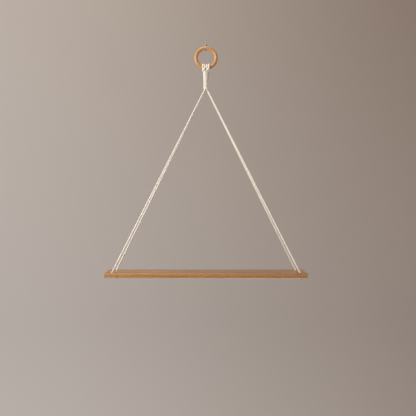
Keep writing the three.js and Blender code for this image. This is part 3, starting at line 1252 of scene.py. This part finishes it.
@dataclass
class PictureHook:
    """The bent steel strip that the ring hangs on, and its nail."""

    width: float = 4.6 * MM
    thickness: float = 1.4 * MM
    bend: float = 3.2 * MM
    bend_steps: int = 20
    tip: float = 0.5 * MM
    tip_share: float = 0.8  # of the strip's width and thickness that is left at its tip
    edge: float = 0.22 * MM
    edge_steps: int = 3
    edge_degrees: float = 40.0
    merge: float = 0.01 * MM
    punch_length: float = 5.6 * MM
    nail_height: float = 3.2 * MM
    nail_radius: float = 1.0 * MM
    nail_sides: int = 32
    head_radius: float = 2.1 * MM
    head_height: float = 1.3 * MM
    head_edge: float = 0.4  # the share of the head's height that is upright
    dome_steps: int = 5
    clearance: float = 0.3 * MM
    finish: SteelFinish = SteelFinish(
        name="zinc_steel", bright=srgb(190, 187, 183), dull=srgb(134, 130, 127), roughness=0.34)

    def build(self) -> list[bpy.types.Object]:
        """Model and dress the strip and the nail.

        Returns:
            The two pieces.
        """
        steel = self.finish.material()
        strip, nail = self._strip(), self._nail()
        strip.data.materials.append(steel)
        nail.data.materials.append(steel)
        Bench.hand_over(strip, Slot.STEEL, "picture_hook")
        Bench.hand_over(nail, Slot.STEEL, "hook_nail")
        return [strip, nail]

    def _strip(self) -> bpy.types.Object:
        """Bend the strip from a flat bar: a straight back, a half-round bend and a short lip.

        Returns:
            The strip.
        """
        low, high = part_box("picture_hook")
        outer = self.bend + self.thickness
        bend_z = low[2] + outer
        strip = Bench.block("hook_strip", (-self.width / 2, -self.thickness, bend_z),
                            (self.width / 2, 0.0, high[2]))
        Bench.select(strip, Part.FACE, lambda face: face.normal.z < -Bench.FACING)
        bpy.ops.mesh.spin(steps=self.bend_steps, dupli=False, angle=-math.pi, use_normal_flip=False,
                          center=(0.0, -outer, bend_z), axis=(1.0, 0.0, 0.0))
        Bench.draw_out(z=self.tip)
        lip = (0.0, -2 * outer + self.thickness / 2, bend_z)
        Bench.resize(lip, x=self.tip_share, y=self.tip_share)
        Bench.close_edit(self.merge)
        punch = Bench.rod("punch", (0.0, 0.0, self.nail_height), self.nail_radius + self.clearance,
                          self.punch_length, self.nail_sides, QUARTER_TURN)
        Bench.cut(strip, punch)
        Bench.soften(strip, self.edge, self.edge_steps, self.edge_degrees)
        Bench.smooth(strip)
        return strip

    def _nail(self) -> bpy.types.Object:
        """Shape the nail from a short cylinder: its front face grows into a domed head.

        Returns:
            The nail.
        """
        shank = self.thickness + self.clearance
        nail = Bench.rod("nail", (0.0, -shank / 2, self.nail_height), self.nail_radius, shank,
                         self.nail_sides, QUARTER_TURN)
        Bench.select(nail, Part.FACE, lambda face: face.normal.y < -Bench.FACING)
        middle = (0.0, -shank, self.nail_height)
        wide = self.head_radius / self.nail_radius
        Bench.draw_out()
        Bench.resize(middle, x=wide, z=wide)
        upright = self.head_edge * self.head_height
        Bench.draw_out(y=-upright)
        dome = self.head_height - upright
        angles = [QUARTER_TURN * step / self.dome_steps for step in range(self.dome_steps)]
        for before, angle in pairwise(angles):
            shrink = math.cos(angle) / math.cos(before)
            Bench.draw_out(y=-dome * (math.sin(angle) - math.sin(before)))
            Bench.resize(middle, x=shrink, z=shrink)
        bpy.ops.object.mode_set(mode="OBJECT")
        Bench.smooth(nail)
        return nail


@dataclass(frozen=True)
class PanelLight:
    """A square light of the studio, with its side in metres and its power in watts."""

    name: str
    place: Place
    size: float
    power: float
    colour: Colour

    def hang(self, aim: Place) -> None:
        """Hang the light so that it faces a point.

        Args:
            aim: The point.
        """
        Bench.clear()
        bpy.ops.object.light_add(type="AREA", location=self.place)
        lamp = bpy.context.object
        lamp.name = self.name
        lamp.data.size = self.size
        lamp.data.energy = self.power
        lamp.data.color = self.colour
        lamp.rotation_euler = (Vector(aim) - Vector(self.place)).to_track_quat("-Z", "Y").to_euler()


@dataclass
class Studio:
    """The camera, the floor and backdrop with painted shade, and the soft light from the left."""

    lens: float = 72.46
    sensor: float = 36.0
    clip: tuple[float, float] = (0.05, 60.0)
    camera_place: Place = (5.2 * MM, -2148 * MM, -356.4 * MM)
    pitch: float = 1.52  # degrees that the camera looks down
    floor_height: float = -1.9
    backdrop_distance: float = 1.2
    backdrop_height: float = 4.5
    sweep_radius: float = 1.0
    sweep_steps: int = 16
    sweep_width: float = 14.0
    sweep_length: float = 5.2  # of the flat floor
    smooth_degrees: float = 60.0
    # The backdrop's four colours hold painted shade: darker to the right and towards the top, as on a wall
    # lit from the left.
    backdrop_top: tuple[Colour, Colour] = ((0.405, 0.376, 0.364), (0.183, 0.134, 0.108))  # left, right
    backdrop_foot: tuple[Colour, Colour] = ((0.455, 0.445, 0.454), (0.347, 0.315, 0.310))
    backdrop_roughness: float = 0.95
    shade_span: tuple[float, float] = (-1.7, 1.7)  # where the left colours end and the right ones begin
    shade_rise: tuple[float, float] = (-2.4, 1.4)  # where the foot's end and the top's begin
    aim: Place = (0.0, -0.05, -0.3)
    lights: tuple[PanelLight, ...] = (
        PanelLight("window_light", (-1.95, -1.6, 0.3), 1.2, 70.0, srgb(255, 251, 246)),
        PanelLight("ceiling_bounce", (-0.3, -0.25, 2.2), 1.4, 42.0, srgb(255, 243, 220)),
        PanelLight("back_bounce", (1.7, 0.4, -0.3), 0.9, 5.0, srgb(255, 236, 214)),
        PanelLight("floor_bounce", (-0.2, -0.6, -1.75), 1.6, 14.0, srgb(255, 248, 240)))
    air_colour: Colour = srgb(214, 205, 198)
    air_strength: float = 0.4

    def build(self) -> None:
        """Set up the camera, the stage and the lights."""
        self._camera()
        self._sweep()
        for light in self.lights:
            light.hang(self.aim)
        self._air()
        LOG.info("studio: camera, sweep and lights")

    def _camera(self) -> None:
        """Place the camera where the photograph was taken from."""
        Bench.clear()
        turn = QUARTER_TURN - math.radians(self.pitch)
        bpy.ops.object.camera_add(location=self.camera_place, rotation=(turn, 0.0, 0.0))
        camera = bpy.context.object
        camera.name = "view_camera"
        camera.data.lens = self.lens
        camera.data.sensor_width = self.sensor
        camera.data.clip_start, camera.data.clip_end = self.clip
        bpy.context.scene.camera = camera
        bpy.context.scene.view_settings.view_transform = "Standard"

    def _sweep(self) -> None:
        """Lay a floor that curves up into a backdrop well behind the shelf, with painted shade on it."""
        far = self.backdrop_distance - self.sweep_radius
        just_short = far - 10 * MM
        Bench.clear()
        bpy.ops.mesh.primitive_plane_add(
            size=1.0, location=(0.0, far - self.sweep_length / 2, self.floor_height))
        bpy.context.object.scale = (self.sweep_width, self.sweep_length, 1.0)
        sweep = Bench.named("sweep")
        points = sweep.data.vertices
        Bench.select(sweep, Part.EDGE, lambda edge: min(points[i].co.y for i in edge.vertices) > just_short)
        bpy.ops.mesh.spin(steps=self.sweep_steps, dupli=False, angle=-QUARTER_TURN, axis=(1.0, 0.0, 0.0),
                          center=(0.0, far, self.floor_height + self.sweep_radius))
        Bench.draw_out(z=self.backdrop_height)
        Bench.close_edit()
        Bench.smooth(sweep, self.smooth_degrees)
        sweep.data.materials.append(self._paint())

    def _paint(self) -> bpy.types.Material:
        """Mix the sweep's matt paint with painted shade, which darkens it to the right and towards the top.

        Returns:
            The finished material.
        """
        recipe = Recipe("matt_paint_with_painted_shade")
        axes = recipe.node("SeparateXYZ", Vector=recipe.place()).outputs
        across = recipe.spread(axes["X"], *self.shade_span, ease=True)
        above = recipe.spread(axes["Z"], *self.shade_rise, ease=True)
        foot = recipe.mix(across, *self.backdrop_foot)
        top = recipe.mix(across, *self.backdrop_top)
        recipe.surface(Base_Color=recipe.mix(above, foot, top), Roughness=self.backdrop_roughness)
        return recipe.material

    def _air(self) -> None:
        """Fill the room with a weak even light."""
        world = bpy.data.worlds.new("room_air")
        world.use_nodes = True
        background = world.node_tree.nodes["Background"]
        background.inputs["Color"].default_value = (*self.air_colour, 1.0)
        background.inputs["Strength"].default_value = self.air_strength
        bpy.context.scene.world = world


def main() -> None:
    """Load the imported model, build every sub-assembly round it, and note the pieces and sizes."""
    logging.basicConfig(level=logging.INFO, format="%(name)s: %(message)s")
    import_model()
    line = HangLine()
    board = ShelfBoard()
    Studio().build()
    for assembly in (board, WoodenRing(line), MacrameHanger(line, board), PictureHook()):
        for piece in assembly.build():
            triangles = sum(len(face.vertices) - 2 for face in piece.data.polygons)
            LOG.info("%s: %d triangles", piece.name, triangles)
    Bench.clear()


if __name__ == "__main__":
    main()
